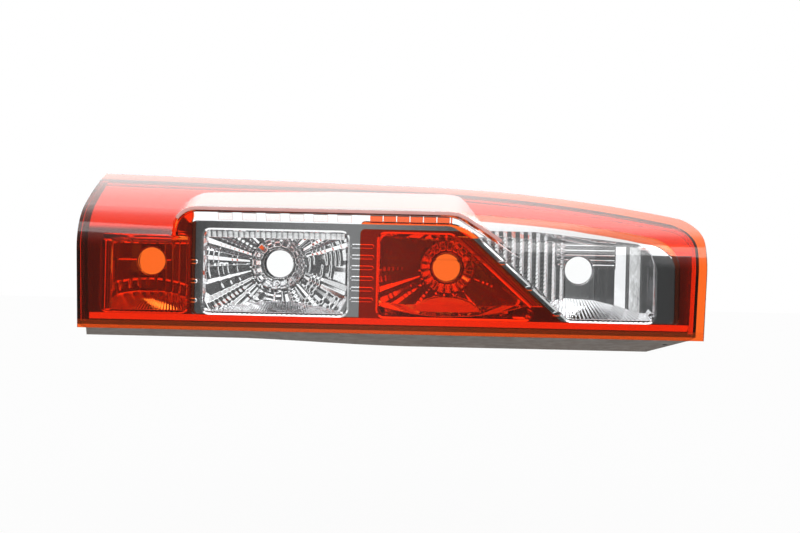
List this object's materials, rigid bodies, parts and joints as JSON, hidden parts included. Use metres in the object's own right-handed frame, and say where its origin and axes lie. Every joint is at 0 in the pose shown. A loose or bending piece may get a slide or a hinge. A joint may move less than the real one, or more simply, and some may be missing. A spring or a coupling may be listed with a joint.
{
  "type": "tail light cluster",
  "caption": "Long van rear lamp with a wrapped red and clear lens, faceted reflector chambers and a grey housing with lamp-holder ports and fixing studs.",
  "frame": {"origin": "midway between the two fixing studs, on the plane of their bosses", "axes": "+X along the lamp to its rounded end, +Y backwards along the studs so that the lens faces -Y, +Z to the side that the lens wraps round"},
  "size_m": [0.6429, 0.117, 0.1834],
  "materials": {
    "red_lens": "polished clear red acrylic",
    "clear_lens": "polished clear acrylic",
    "metallised": "vacuum metallised plastic",
    "housing": "fine grained grey-brown moulding",
    "zinc_steel": "zinc plated",
    "white_plastic": "natural acetal",
    "foam": "closed cell foam",
    "vent_rubber": "moulded rubber"
  },
  "bodies": {
    "root": {"lens_red": "red_lens", "lens_clear": "clear_lens", "reflector_insert": "metallised", "rear_housing": "housing", "mounting_studs": "zinc_steel", "locating_pins": "white_plastic", "insert_screws": "zinc_steel", "body_gasket": "foam", "vent_cap": "vent_rubber"}
  },
  "joints": []
}
